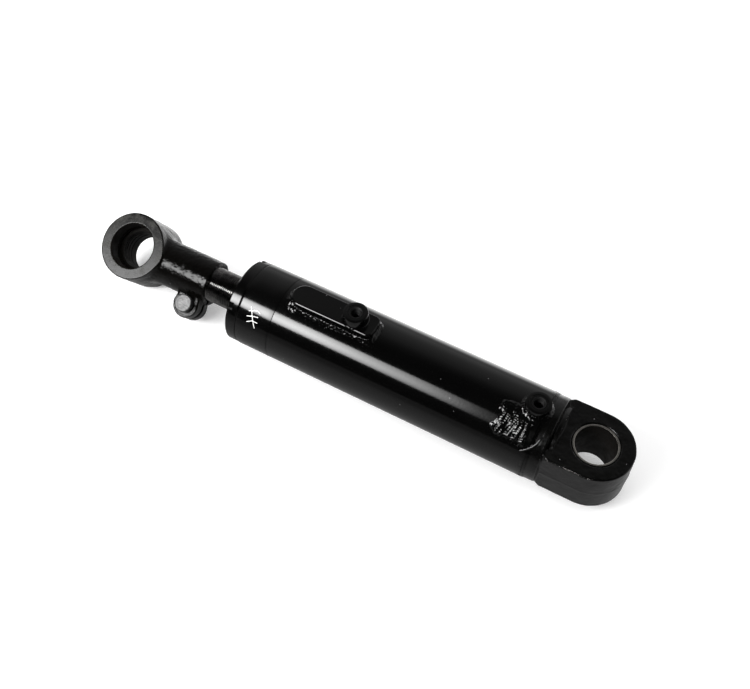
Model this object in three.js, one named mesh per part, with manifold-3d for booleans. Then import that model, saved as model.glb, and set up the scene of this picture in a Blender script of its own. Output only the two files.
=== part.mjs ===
import * as THREE from "three";
import { mergeVertices } from "three/addons/utils/BufferGeometryUtils.js";
import Module from "manifold-3d";

// Hydraulic cylinder, millimetres. X runs along the barrel from the base pin to the rod end.
// The base pin axis is Z, and both ports face +Z. The rod is drawn fully retracted.

// Running gap left between pieces that touch.
const GAP = 0.3;

// Barrel tube.
const TUBE_R = 44.45;
const BORE_R = 38.1;
const TUBE_START = 54;
const TUBE_END = 336.9;

// Base cap: a forged lug with a turned head that enters the tube.
const LUG_HALF = 26.7;
const LUG_WIDTH = 76;
const LUG_END_X = 39.5;
const HEAD_R = 43.8;
const CONE_START = 33;
const CONE_END = 40;
const NOSE_R = 30;
const NOSE_END = 67.5;
const NUT_POCKET_R = 23;
const NUT_POCKET_START = 44;

// Bushes.
const PIN_R = 20.15;
const BASE_BUSH_R = 22.9;
const BASE_BUSH_HALF = 26.2;

// Ports.
const PORT_HOLE_R = 4.95;
const PORT_CHAMFER_R = 6.3;
const BOSS_R = 12.5;
const BASE_PORT_X = 62.2;
const BASE_PORT_TOP = 52;
const ROD_PORT_X = 257;
const ROD_PORT_TOP = 63.4;
const PAD_START = 59;
const PAD_END = 90;
const PAD_R = 46.2;
const FEED_HOLE_R = 4;
const GALLERY_R = 2.7;
const GALLERY_Z = 48.9;
const ROD_FEED_X = 308;

// Transfer block that carries oil along the barrel to the rod side.
const BLOCK_START = 234.5;
const BLOCK_END = 327.5;
const BLOCK_HALF = 12.9;
const BLOCK_CORNER = 6;
const BLOCK_TOP = 53;

// Gland, and the collar it screws into.
const COLLAR_END = 373.9;
const COLLAR_BORE_R = 41.3;
const GLAND_BACK = 318;
const FLANGE_START = 374.9;
const FLANGE_END = 386.7;
const FLANGE_R = 44.1;
const NOTCH_WIDTH = 8;
const NOTCH_DEPTH = 3.2;
const NOTCH_COUNT = 4;

// Rod, piston and nut.
const ROD_R = 19.05;
const ROD_END_X = 484;
const PISTON_BACK = 68.5;
const PISTON_FRONT = 98.5;
const PISTON_R = 37.8;
const SPIGOT_R = 14;
const NUT_BACK = 50;
const SPIGOT_BACK = 47;
const NUT_FLATS = 36;

// Split rod end, turned about the rod so its pin axis leans 31 degrees from the base pin.
const EYE_X = 520.8;
const EYE_TILT = THREE.MathUtils.degToRad(31);
const EYE_R = 35.9;
const EYE_HALF = 26.3;
const EYE_BORE_R = 24.15;
const EYE_BUSH_BACK = -24.3;
const EYE_BUSH_FRONT = 6.3;
const NECK_R = 24.5;
const NECK_START = 426.5;
const SOCKET_R = ROD_R + GAP;
const SOCKET_END = 485;
const SLOT_WIDTH = 4;
const SLOT_END = 472;
const CLAMP_X = 443.2;
const CLAMP_DROP = 32;
const CLAMP_R = 14.3;
const CLAMP_HALF = 12.5;
const SCREW_R = 6;
const SCREW_HEAD_R = 9.2;
const SCREW_HEAD_TOP = 19.4;

const BIG = 40;
const MEDIUM = 24;
const SMALL = 16;

const wasm = await Module();
wasm.setup();

// Signed volume of an indexed triangle list, used to face every shell outward.
function signedVolume(points, faces) {
  let sum = 0;
  const corner = [new THREE.Vector3(), new THREE.Vector3(), new THREE.Vector3()];
  for (let i = 0; i < faces.length; i += 3) {
    corner.forEach((v, k) => v.fromArray(points, 3 * faces[i + k]));
    sum += corner[0].dot(corner[1].clone().cross(corner[2]));
  }
  return sum / 6;
}

// Turns a closed three.js geometry into a solid for boolean work.
function solid(geometry) {
  geometry.deleteAttribute("normal");
  geometry.deleteAttribute("uv");
  const merged = mergeVertices(geometry, 1e-4);
  const points = merged.attributes.position.array;
  const faces = [];
  const index = merged.index.array;
  for (let i = 0; i < index.length; i += 3) {
    const [a, b, c] = [index[i], index[i + 1], index[i + 2]];
    if (a !== b && b !== c && c !== a) {
      faces.push(a, b, c);
    }
  }
  if (signedVolume(points, faces) < 0) {
    for (let i = 0; i < faces.length; i += 3) {
      [faces[i + 1], faces[i + 2]] = [faces[i + 2], faces[i + 1]];
    }
  }
  const mesh = new wasm.Mesh({
    numProp: 3,
    vertProperties: new Float32Array(points),
    triVerts: new Uint32Array(faces),
  });
  return new wasm.Manifold(mesh);
}

// Solid of revolution about X from [x, radius] pairs.
function turned(profile, segments = BIG) {
  const points = profile.map(([x, r]) => new THREE.Vector2(r, x));
  const geometry = new THREE.LatheGeometry(points, segments);
  geometry.rotateZ(-Math.PI / 2);
  return solid(geometry);
}

// Plain ring about X.
function ring(x0, x1, inner, outer, segments = BIG) {
  return turned([[x0, inner], [x1, inner], [x1, outer], [x0, outer], [x0, inner]], segments);
}

// Ring about X with chamfered outer edges.
function chamferedRing(x0, x1, inner, outer, cut, segments = BIG) {
  return turned([
    [x0, inner], [x1, inner], [x1, outer - cut], [x1 - cut, outer],
    [x0 + cut, outer], [x0, outer - cut], [x0, inner],
  ], segments);
}

// Straight cylinder along Z.
function upright(x, y, z0, z1, radius, segments = MEDIUM, topRadius = radius) {
  const geometry = new THREE.CylinderGeometry(topRadius, radius, z1 - z0, segments);
  geometry.rotateX(Math.PI / 2);
  geometry.translate(x, y, (z0 + z1) / 2);
  return solid(geometry);
}

function block(x0, x1, y0, y1, z0, z1) {
  const geometry = new THREE.BoxGeometry(x1 - x0, y1 - y0, z1 - z0);
  geometry.translate((x0 + x1) / 2, (y0 + y1) / 2, (z0 + z1) / 2);
  return solid(geometry);
}

// Straight cylinder along X.
function rodAlongX(x0, x1, radius, segments = BIG) {
  return turned([[x0, 0], [x0, radius], [x1, radius], [x1, 0]], segments);
}

// Flat plate in XY with an outline, from z0 up, edges bevelled by the given amount.
function plate(shape, z0, z1, bevel, curveSegments = 8) {
  const geometry = new THREE.ExtrudeGeometry(shape, {
    depth: z1 - z0 - 2 * bevel,
    bevelEnabled: bevel > 0,
    bevelThickness: bevel,
    bevelSize: bevel,
    bevelOffset: -bevel,
    bevelSegments: 1,
    curveSegments,
  });
  geometry.translate(0, 0, z0 + bevel);
  return solid(geometry);
}

// Outline of the transfer block, full round at the rod side and blunt at the base side.
function blockOutline(grow) {
  const x0 = BLOCK_START - grow;
  const x1 = BLOCK_END + grow;
  const w = BLOCK_HALF + grow;
  const c = BLOCK_CORNER + grow;
  const shape = new THREE.Shape();
  shape.moveTo(x0 + c, -w);
  shape.lineTo(x1 - w, -w);
  shape.absarc(x1 - w, 0, w, -Math.PI / 2, Math.PI / 2, false);
  shape.lineTo(x0 + c, w);
  shape.absarc(x0 + c, w - c, c, Math.PI / 2, Math.PI, false);
  shape.lineTo(x0, -w + c);
  shape.absarc(x0 + c, -w + c, c, Math.PI, 1.5 * Math.PI, false);
  return shape;
}

function barrelTube() {
  return chamferedRing(TUBE_START, TUBE_END, BORE_R, TUBE_R, 0.8)
    .subtract(upright(BASE_PORT_X, 0, 20, 60, FEED_HOLE_R, SMALL))
    .subtract(upright(ROD_FEED_X, 0, 20, 60, FEED_HOLE_R, SMALL));
}

// Lug slab with a full round end, joined to the turned head and nose.
function baseLug() {
  const half = LUG_WIDTH / 2;
  const outline = new THREE.Shape();
  outline.moveTo(LUG_END_X, half);
  outline.lineTo(0, half);
  outline.absarc(0, 0, half, Math.PI / 2, 1.5 * Math.PI, false);
  outline.lineTo(LUG_END_X, -half);
  const slab = plate(outline, -LUG_HALF, LUG_HALF, 1.2, 24);
  const spigotR = BORE_R - GAP;
  const turnedHead = turned([
    [20, 0], [20, 10], [CONE_START, LUG_HALF], [CONE_END, HEAD_R - 0.6], [CONE_END + 0.8, HEAD_R],
    [TUBE_START - 1.3, HEAD_R], [TUBE_START - GAP, HEAD_R - 1], [TUBE_START - GAP, spigotR],
    [TUBE_START + 3.2, spigotR], [TUBE_START + 3.2, NOSE_R], [NOSE_END - 1, NOSE_R],
    [NOSE_END, NOSE_R - 1], [NOSE_END, NUT_POCKET_R], [NUT_POCKET_START, NUT_POCKET_R],
    [NUT_POCKET_START, 0],
  ]);
  return slab.intersect(lugEnvelope()).add(turnedHead)
    .subtract(upright(0, 0, -40, 40, BASE_BUSH_R + GAP, BIG));
}

// The lathe that turned the head also took the slab's corners down next to it.
function lugEnvelope() {
  const past = LUG_END_X + 2;
  return turned([
    [-60, 0], [-60, 60], [LUG_END_X - 6, 60], [LUG_END_X - 6, 46.6],
    [LUG_END_X - 1.5, HEAD_R], [past, HEAD_R], [past, 0],
  ]);
}

// Steel bush along Z about a centre, chamfered inside at both mouths.
function bush(inner, outer, z0, z1, cut) {
  return turned([
    [z0, inner + cut], [z0 + cut, inner], [z1 - cut, inner], [z1, inner + cut],
    [z1, outer], [z0, outer], [z0, inner + cut],
  ], BIG).rotate([0, -90, 0]);
}

// Port hole with a chamfered mouth, cut downward from a boss face.
function portHole(x, top, bottom) {
  return upright(x, 0, bottom, top + 1, PORT_HOLE_R, SMALL)
    .add(upright(x, 0, top - 1.4, top + 0.01, PORT_HOLE_R, SMALL, PORT_CHAMFER_R));
}

// Round boss with a chamfered rim and a shallow spotface around the hole.
function boss(x, bottom, top) {
  const rim = 1;
  return upright(x, 0, bottom, top - rim, BOSS_R, MEDIUM)
    .add(upright(x, 0, top - rim - 0.01, top, BOSS_R, MEDIUM, BOSS_R - rim))
    .subtract(portHole(x, top, bottom - 1));
}

function basePortBoss() {
  return boss(BASE_PORT_X, 36, BASE_PORT_TOP)
    .subtract(rodAlongX(20, 120, TUBE_R + GAP));
}

function rodPortBoss() {
  return boss(ROD_PORT_X, BLOCK_TOP + GAP, ROD_PORT_TOP);
}

// Block saddled on the tube, drilled down from the boss, along, and down again into the bore.
function rodPortBlock() {
  return plate(blockOutline(0), 34, BLOCK_TOP, 0.6)
    .subtract(rodAlongX(200, 350, TUBE_R + GAP))
    .subtract(upright(ROD_PORT_X, 0, GALLERY_Z - GALLERY_R, BLOCK_TOP + 1, PORT_HOLE_R, SMALL))
    .subtract(rodAlongX(ROD_PORT_X, ROD_FEED_X, GALLERY_R, 24).translate([0, 0, GALLERY_Z]))
    .subtract(upright(ROD_FEED_X, 0, 30, GALLERY_Z, FEED_HOLE_R, SMALL));
}

// Hand-laid weld pad on the near side of the tube, between two angles up from +Y.
function weldPad() {
  const [from, to] = [33, 82].map(THREE.MathUtils.degToRad);
  const foot = TUBE_R + GAP;
  return turned([
    [PAD_START, foot], [PAD_START + 1.5, PAD_R], [PAD_END - 3, PAD_R], [PAD_END, foot],
    [PAD_START, foot],
  ])
    .trimByPlane([0, -Math.sin(from), Math.cos(from)], 0)
    .trimByPlane([0, Math.sin(to), -Math.cos(to)], 0);
}

// Fillet bead round the foot of a boss or block: grown outline minus tube and part.
function baseBossWeld() {
  return upright(BASE_PORT_X, 0, 36, 49, 17, MEDIUM, 13.6)
    .add(weldPad())
    .subtract(upright(BASE_PORT_X, 0, 30, 60, BOSS_R + GAP, MEDIUM))
    .subtract(rodAlongX(20, 120, TUBE_R + GAP));
}

function rodBossWeld() {
  const foot = BLOCK_TOP + GAP;
  return upright(ROD_PORT_X, 0, foot, foot + 2.6, BOSS_R + 2.2, MEDIUM, BOSS_R + 0.6)
    .subtract(upright(ROD_PORT_X, 0, foot - 1, foot + 5, BOSS_R + GAP, MEDIUM));
}

function blockWeld() {
  return plate(blockOutline(6.5), 30, 47.5, 5)
    .subtract(plate(blockOutline(GAP), 20, 60, 0))
    .subtract(rodAlongX(200, 350, TUBE_R + GAP));
}

// Closing weld between the tube end and the head of the base cap.
function capWeld() {
  const foot = TUBE_R + GAP;
  return turned([
    [TUBE_START - 4.5, HEAD_R + GAP], [TUBE_START - 0.4, HEAD_R + GAP], [TUBE_START - 0.4, foot],
    [TUBE_START + 4.5, foot], [TUBE_START + 3, foot + 0.2], [TUBE_START, foot + 0.3],
    [TUBE_START - 3, foot], [TUBE_START - 4.5, HEAD_R + GAP],
  ]).subtract(upright(BASE_PORT_X, 0, 30, 60, 17.4, MEDIUM));
}

// Threaded collar joined to the front of the tube, same outside diameter.
function glandCollar() {
  return turned([
    [TUBE_END + GAP, COLLAR_BORE_R], [COLLAR_END, COLLAR_BORE_R], [COLLAR_END, TUBE_R - 0.9],
    [COLLAR_END - 0.9, TUBE_R], [TUBE_END + GAP + 0.5, TUBE_R], [TUBE_END + GAP, TUBE_R - 0.5],
    [TUBE_END + GAP, COLLAR_BORE_R],
  ]);
}

// Inner grooves of the gland as [x0, x1, radius], from the back to the wiper seat.
const GUIDE_SEAT = [322, 342, 21.6];
const BUFFER_SEAT = [345.5, 351, 24.2];
const SEAL_SEAT = [354.5, 363.5, 24.6];
const WIPER_SEAT = [377, FLANGE_END, 24.6];
const O_RING_SEAT = [324.5, 331.5, 34.6];

function gland() {
  const bore = ROD_R + GAP;
  const pilotR = BORE_R - GAP;
  const screwR = COLLAR_BORE_R - GAP;
  const seats = [GUIDE_SEAT, BUFFER_SEAT, SEAL_SEAT].flatMap(([x0, x1, r]) => [
    [x0, bore], [x0, r], [x1, r], [x1, bore],
  ]);
  const body = turned([
    [GLAND_BACK, bore + 1], [GLAND_BACK + 1, bore], ...seats,
    [WIPER_SEAT[0], bore], [WIPER_SEAT[0], WIPER_SEAT[2]], [WIPER_SEAT[1], WIPER_SEAT[2]],
    [FLANGE_END, FLANGE_R - 1], [FLANGE_END - 1, FLANGE_R], [FLANGE_START + 0.9, FLANGE_R],
    [FLANGE_START, FLANGE_R - 0.9], [FLANGE_START, screwR], [TUBE_END + 1.4, screwR],
    [TUBE_END + 1.4, pilotR], [O_RING_SEAT[1], pilotR], [O_RING_SEAT[1], O_RING_SEAT[2]],
    [O_RING_SEAT[0], O_RING_SEAT[2]], [O_RING_SEAT[0], pilotR], [GLAND_BACK + 2, pilotR],
    [GLAND_BACK, pilotR - 2], [GLAND_BACK, bore + 1],
  ]);
  return cutNotches(body);
}

// Spanner notches across the rim of the gland flange.
function cutNotches(body) {
  let result = body;
  for (let i = 0; i < NOTCH_COUNT; i += 1) {
    const tool = block(
      FLANGE_END - 6, FLANGE_END + 1, -NOTCH_WIDTH / 2, NOTCH_WIDTH / 2,
      FLANGE_R - NOTCH_DEPTH, FLANGE_R + 2,
    );
    result = result.subtract(tool.rotate([360 * (i / NOTCH_COUNT) - 48, 0, 0]));
  }
  return result;
}

// Soft ring with a domed outside, seated in a groove.
function softRing(x0, x1, inner, outer, crown) {
  return turned([
    [x0, inner], [x1, inner], [x1, outer - crown], [(x0 + x1) / 2 + 0.6, outer],
    [(x0 + x1) / 2 - 0.6, outer], [x0, outer - crown], [x0, inner],
  ], MEDIUM);
}

function oRing(x, centreR, wireR) {
  const points = [];
  const steps = 8;
  for (let i = 0; i <= steps; i += 1) {
    const a = (2 * Math.PI * i) / steps;
    points.push([x + wireR * Math.cos(a), centreR + wireR * Math.sin(a)]);
  }
  points[steps] = points[0];
  return turned(points, MEDIUM);
}

// U-shaped lip seal between rod and groove, mouth toward the pressure side.
function lipSeal(seat) {
  const [x0, x1, r] = seat;
  const inner = ROD_R + GAP;
  const outer = r - GAP;
  const mid = (inner + outer) / 2;
  return turned([
    [x0 + GAP, inner], [x1 - GAP, inner], [x1 - GAP, outer], [x0 + GAP, outer],
    [x0 + GAP, mid + 1], [x0 + 2.4, mid], [x0 + GAP, mid - 1], [x0 + GAP, inner],
  ], MEDIUM);
}

// Dust wiper with a lip that stands out of the gland face.
function rodWiper() {
  const inner = ROD_R + GAP;
  const outer = WIPER_SEAT[2] - GAP;
  return turned([
    [WIPER_SEAT[0] + GAP, inner + 0.8], [FLANGE_END + 0.4, inner + 0.8], [FLANGE_END + 2.2, inner],
    [FLANGE_END + 2.6, inner + 1], [FLANGE_END - 0.4, inner + 3.6], [FLANGE_END - 0.4, outer],
    [WIPER_SEAT[0] + GAP, outer], [WIPER_SEAT[0] + GAP, inner + 0.8],
  ], MEDIUM);
}

// Rings carried in the piston's outer grooves as [x0, x1, groove floor radius].
const REAR_WEAR_SEAT = [71.5, 77.5, 35];
const PISTON_SEAL_SEAT = [80.5, 86.5, 32.5];
const FRONT_WEAR_SEAT = [89.5, 95.5, 35];

function piston() {
  const grooves = [FRONT_WEAR_SEAT, PISTON_SEAL_SEAT, REAR_WEAR_SEAT].flatMap(([x0, x1, r]) => [
    [x1, PISTON_R], [x1, r], [x0, r], [x0, PISTON_R],
  ]);
  const bore = SPIGOT_R + GAP;
  return turned([
    [PISTON_BACK, bore], [84, bore], [84, bore + 2.4], [88.6, bore + 2.4], [88.6, bore],
    [PISTON_FRONT, bore],
    [PISTON_FRONT, PISTON_R - 1], [PISTON_FRONT - 1, PISTON_R], ...grooves,
    [PISTON_BACK + 1, PISTON_R], [PISTON_BACK, PISTON_R - 1], [PISTON_BACK, bore],
  ], MEDIUM);
}

function seatRing([x0, x1, floor], segments = MEDIUM) {
  return ring(x0 + GAP, x1 - GAP, floor + GAP, BORE_R - GAP / 2, segments);
}

// Rod with a reduced spigot for the piston and nut and a threaded front end.
function pistonRod() {
  return turned([
    [SPIGOT_BACK, 0], [SPIGOT_BACK, SPIGOT_R - 1.5], [SPIGOT_BACK + 1.5, SPIGOT_R],
    [PISTON_FRONT + GAP, SPIGOT_R], [PISTON_FRONT + GAP, ROD_R - 1],
    [PISTON_FRONT + GAP + 1, ROD_R], [ROD_END_X - 2, ROD_R], [ROD_END_X, ROD_R - 2],
    [ROD_END_X, 0],
  ], BIG);
}

function pistonNut() {
  const across = NUT_FLATS / 2 / Math.cos(Math.PI / 6);
  const geometry = new THREE.CylinderGeometry(across, across, PISTON_BACK - GAP - NUT_BACK, 6);
  geometry.rotateZ(-Math.PI / 2);
  geometry.translate((PISTON_BACK - GAP + NUT_BACK) / 2, 0, 0);
  return solid(geometry)
    .subtract(rodAlongX(NUT_BACK - 1, PISTON_BACK + 1, SPIGOT_R + GAP, MEDIUM));
}

// Rod end drawn with its pin axis along Z and its clamp toward +Y, before the tilt.
function rodEnd() {
  const eye = upright(EYE_X, 0, -EYE_HALF + 1, EYE_HALF - 1, EYE_R, BIG)
    .add(upright(EYE_X, 0, EYE_HALF - 1.01, EYE_HALF, EYE_R, BIG, EYE_R - 1))
    .add(upright(EYE_X, 0, -EYE_HALF, -EYE_HALF + 1.01, EYE_R - 1, BIG, EYE_R));
  const neck = turned([
    [NECK_START, 0], [NECK_START, NECK_R - 1.4], [NECK_START + 1.4, NECK_R], [492, NECK_R],
    [500, NECK_R + 1.2], [510, NECK_R + 1.2], [510, 0],
  ], BIG);
  const ear = upright(CLAMP_X, CLAMP_DROP, -CLAMP_HALF, CLAMP_HALF, CLAMP_R, MEDIUM)
    .add(block(CLAMP_X - CLAMP_R, CLAMP_X + CLAMP_R, 8, CLAMP_DROP, -CLAMP_HALF, CLAMP_HALF));
  const half = SLOT_WIDTH / 2;
  return eye.add(neck).add(ear)
    .subtract(upright(EYE_X, 0, -40, 40, EYE_BORE_R, BIG))
    .subtract(rodAlongX(NECK_START - 1, SOCKET_END, SOCKET_R))
    .subtract(block(NECK_START - 1, SLOT_END, 0, CLAMP_DROP + CLAMP_R + 2, -half, half))
    .subtract(upright(CLAMP_X, CLAMP_DROP, -20, 20, SCREW_R + GAP, SMALL));
}

// Low-head clamp screw, its head standing proud of the near ear.
function pinchScrew() {
  const head = CLAMP_HALF + GAP;
  const profile = [
    [-CLAMP_HALF, 0], [-CLAMP_HALF, SCREW_R - 1], [1 - CLAMP_HALF, SCREW_R], [head, SCREW_R],
    [head, SCREW_HEAD_R], [SCREW_HEAD_TOP - 0.7, SCREW_HEAD_R],
    [SCREW_HEAD_TOP, SCREW_HEAD_R - 0.7], [SCREW_HEAD_TOP, 0],
  ];
  return turned(profile, SMALL).rotate([0, -90, 0]).translate([CLAMP_X, CLAMP_DROP, 0]);
}

// Tilts a rod-end piece about the rod so +Z leans toward +Y.
function tilt(shape) {
  return shape.rotate([-THREE.MathUtils.radToDeg(EYE_TILT), 0, 0]);
}

const PAINT = { color: 0x0b0b0c, roughness: 0.22, metalness: 0.1 };
const FORGED = { color: 0x121213, roughness: 0.55, metalness: 0.2 };
const BEAD = { color: 0x0e0e0f, roughness: 0.35, metalness: 0.2 };
const STEEL = { color: 0x9a9a9c, roughness: 0.35, metalness: 1 };
const CHROME = { color: 0xd4d4d6, roughness: 0.12, metalness: 1 };
const BRONZE = { color: 0x8c7448, roughness: 0.45, metalness: 0.9 };
const IRON = { color: 0x55565a, roughness: 0.5, metalness: 0.8 };
const RUBBER = { color: 0x1a1a1a, roughness: 0.8, metalness: 0 };
const POLYURETHANE = { color: 0x7a5a1c, roughness: 0.5, metalness: 0 };
const NYLON = { color: 0x5a2a20, roughness: 0.5, metalness: 0 };

const inner = ROD_R + GAP;
const PIECES = [
  ["barrel_tube", barrelTube(), PAINT],
  ["base_lug", baseLug(), PAINT],
  ["base_bush", bush(PIN_R, BASE_BUSH_R, -BASE_BUSH_HALF, BASE_BUSH_HALF, 0.8), STEEL],
  ["cap_weld", capWeld(), BEAD],
  ["base_port_boss", basePortBoss(), PAINT],
  ["base_port_weld", baseBossWeld(), BEAD],
  ["rod_port_block", rodPortBlock(), PAINT],
  ["rod_port_block_weld", blockWeld(), BEAD],
  ["rod_port_boss", rodPortBoss(), PAINT],
  ["rod_port_boss_weld", rodBossWeld(), BEAD],
  ["gland_collar", glandCollar(), PAINT],
  ["gland", gland(), PAINT],
  ["gland_o_ring", oRing(326.7, 36.5, 1.3), RUBBER],
  ["gland_backup_ring", ring(328.4, 331.2, 35.2, 37.9, MEDIUM), POLYURETHANE],
  ["rod_guide_bush", ring(322.3, 341.7, inner, 21.3, MEDIUM), BRONZE],
  ["rod_buffer_seal", lipSeal(BUFFER_SEAT), POLYURETHANE],
  ["rod_seal", lipSeal(SEAL_SEAT), RUBBER],
  ["rod_wiper", rodWiper(), POLYURETHANE],
  ["piston_seal", softRing(80.8, 86.2, 32.8, 37.95, 0.8), RUBBER],
  ["piston_wear_ring_front", seatRing(FRONT_WEAR_SEAT), NYLON],
  ["piston_wear_ring_rear", seatRing(REAR_WEAR_SEAT), NYLON],
  ["piston_rod", pistonRod(), CHROME],
  ["piston", piston(), IRON],
  ["piston_o_ring", oRing(86.3, 15.5, 1), RUBBER],
  ["piston_nut", pistonNut(), STEEL],
  ["rod_end", tilt(rodEnd()), FORGED],
  [
    "rod_eye_bush",
    tilt(bush(PIN_R, EYE_BORE_R - GAP, EYE_BUSH_BACK, EYE_BUSH_FRONT, 0.8).translate([EYE_X, 0, 0])),
    STEEL,
  ],
  ["pinch_screw", tilt(pinchScrew()), STEEL],
];

// Mesh with its own material from a finished solid.
function toMesh(name, shape, look) {
  const raw = shape.getMesh();
  const geometry = new THREE.BufferGeometry();
  const points = new Float32Array(raw.vertProperties);
  geometry.setAttribute("position", new THREE.BufferAttribute(points, 3));
  geometry.setIndex(new THREE.BufferAttribute(new Uint32Array(raw.triVerts), 1));
  geometry.computeVertexNormals();
  const mesh = new THREE.Mesh(geometry, new THREE.MeshStandardMaterial(look));
  mesh.name = name;
  return mesh;
}

const group = new THREE.Group();
group.name = "hydraulic_cylinder";
for (const [name, shape, look] of PIECES) {
  group.add(toMesh(name, shape, look));
}

export default group;
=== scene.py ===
import math

import bmesh
import bpy
import numpy as np
from mathutils import Matrix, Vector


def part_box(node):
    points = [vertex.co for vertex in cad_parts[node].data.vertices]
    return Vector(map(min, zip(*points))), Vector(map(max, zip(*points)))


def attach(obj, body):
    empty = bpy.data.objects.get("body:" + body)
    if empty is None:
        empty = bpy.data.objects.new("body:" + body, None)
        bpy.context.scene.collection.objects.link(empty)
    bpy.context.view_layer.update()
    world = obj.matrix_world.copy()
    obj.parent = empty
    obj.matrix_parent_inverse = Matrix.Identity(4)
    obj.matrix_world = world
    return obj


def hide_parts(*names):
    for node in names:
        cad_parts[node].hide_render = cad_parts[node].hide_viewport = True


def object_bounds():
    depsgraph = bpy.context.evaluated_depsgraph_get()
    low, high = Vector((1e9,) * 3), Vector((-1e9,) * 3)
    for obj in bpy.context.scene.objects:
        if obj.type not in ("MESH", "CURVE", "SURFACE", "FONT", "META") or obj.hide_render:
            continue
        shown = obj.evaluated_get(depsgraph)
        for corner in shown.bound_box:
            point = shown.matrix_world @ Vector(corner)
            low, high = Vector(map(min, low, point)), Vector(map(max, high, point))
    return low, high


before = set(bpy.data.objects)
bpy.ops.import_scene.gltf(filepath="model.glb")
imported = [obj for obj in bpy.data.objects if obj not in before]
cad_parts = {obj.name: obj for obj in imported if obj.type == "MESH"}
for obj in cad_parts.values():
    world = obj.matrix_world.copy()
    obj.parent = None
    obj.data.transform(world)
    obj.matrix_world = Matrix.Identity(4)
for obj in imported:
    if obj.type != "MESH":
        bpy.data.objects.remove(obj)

CAD_BOX = [[float(v) for v in corner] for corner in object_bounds()]

# Geometry below is in millimetres in the row frame, and is scaled once when a mesh is made.
MM = 0.001


def node_box(node):
    """Lowest and highest corner of a CAD node, in millimetres."""
    low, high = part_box(node)
    return np.array(low) / MM, np.array(high) / MM


TUBE_LOW, TUBE_HIGH = node_box("barrel_tube")
TUBE_R = TUBE_HIGH[2]
TUBE_START, TUBE_END = TUBE_LOW[0], TUBE_HIGH[0]
BORE_R = 38.1
COLLAR_END = node_box("gland_collar")[1][0]
GLAND_END = node_box("gland")[1][0]
COLLAR_BORE_R = 41.3
# Seats inside the gland for guide bush, buffer seal and rod seal, as (from, to, radius).
SEATS = ((322, 342, 21.6), (345.5, 351, 24.2), (354.5, 363.5, 24.6))
WIPER_SEAT = (377, 24.6)
# Groove on its pilot for o-ring and backup ring, also (from, to, radius).
RING_GROOVE = (324.5, 331.5, 34.6)
GLAND_THREAD_START, GLAND_THREAD_R = 338.3, 41.0
FLANGE_R = 44.1
FLANGE_START = COLLAR_END + 1.0
LUG_HALF = 26.7
LUG_R = 38.0
LUG_END = 39.5
HEAD_R = 43.8
LUG_BORE_R = 23.2
NOSE_R, NOSE_END = 30, 67.5
POCKET_R, POCKET_START = 23, 44
BASE_BOSS_LOW, BASE_BOSS_HIGH = node_box("base_port_boss")
BASE_PORT_X = (BASE_BOSS_LOW[0] + BASE_BOSS_HIGH[0]) / 2
ROD_BOSS_LOW, ROD_BOSS_HIGH = node_box("rod_port_boss")
ROD_PORT_X = (ROD_BOSS_LOW[0] + ROD_BOSS_HIGH[0]) / 2
BOSS_R = 12.5
BLOCK_LOW, BLOCK_HIGH = node_box("rod_port_block")
BLOCK_TOP = BLOCK_HIGH[2]
BLOCK_HALF = 12.9
FEED_X = 308
FEED_R = 4
GALLERY_Z = 48.9
PORT_R = 4.95
MOUTH_R = 6.3
ROD_R = node_box("piston_rod")[1][2]
THREAD_START = 390.0
THREAD_PITCH = 2.117
THREAD_DEPTH = 1.15
ROD_END = 484.0
EYE_X = 520.8
TILT = math.radians(31.0)
EYE_R = 35.9
EYE_HALF = 26.3
EYE_BORE_R = 24.15
BUSH_BORE_R = 20.15
NECK_R = 24.5
NECK_START = 426.5
CLAMP = (443.2, 32.0)
CLAMP_R = 14.3
CLAMP_HALF = 12.5
SEAT_R = 11.6
SOCKET_END = 485
SLOT_HALF, SLOT_END = 2.0, 472
SCREW_HOLE_R = 6.3
SCREW_TOP = 19.4


# ---------------------------------------------------------------- meshes

# Edges that turn by more degrees than this stay crisp.
SHARP = 28


def to_mesh(name, points, quads):
    """Mesh from millimetre points and an (n, 4) array of corners."""
    mesh = bpy.data.meshes.new(name)
    mesh.vertices.add(len(points))
    mesh.vertices.foreach_set("co", (np.asarray(points, np.float32) * MM).ravel())
    mesh.loops.add(4 * len(quads))
    mesh.loops.foreach_set("vertex_index", np.asarray(quads, np.int32).ravel())
    mesh.polygons.add(len(quads))
    mesh.polygons.foreach_set("loop_start", np.arange(0, 4 * len(quads), 4, dtype=np.int32))
    mesh.update(calc_edges=True)
    mesh.validate()
    return mesh


def add(name, data):
    """New object in the scene."""
    obj = bpy.data.objects.new(name, data)
    bpy.context.scene.collection.objects.link(obj)
    return obj


def piece(name, mesh, body, stands_for, finish):
    """Object that rides a body, in place of CAD nodes."""
    obj = add(name, mesh)
    obj.data.materials.append(finish.material)
    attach(obj, body)
    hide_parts(*stands_for)
    return obj


def second(obj, finish, test):
    """Gives another finish to the faces whose centres (mm) pass a test."""
    slot = len(obj.data.materials)
    obj.data.materials.append(finish.material)
    for polygon in obj.data.polygons:
        if test([v / MM for v in polygon.center]):
            polygon.material_index = slot


def shade(mesh, sharp):
    """Smooth shading, except across edges sharper than an angle in degrees."""
    for polygon in mesh.polygons:
        polygon.use_smooth = True
    mesh.set_sharp_from_angle(angle=math.radians(sharp))


def weld_doubles(mesh, sharp):
    """Merges coinciding points, turns faces outward and shades the mesh."""
    work = bmesh.new()
    work.from_mesh(mesh)
    bmesh.ops.remove_doubles(work, verts=work.verts, dist=1e-6)
    bmesh.ops.dissolve_degenerate(work, edges=work.edges, dist=1e-7)
    bmesh.ops.recalc_face_normals(work, faces=work.faces)
    work.to_mesh(mesh)
    work.free()
    shade(mesh, sharp)
    return mesh


def about_x(points):
    """Leaves a lathe's axis along X."""
    return points


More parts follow.
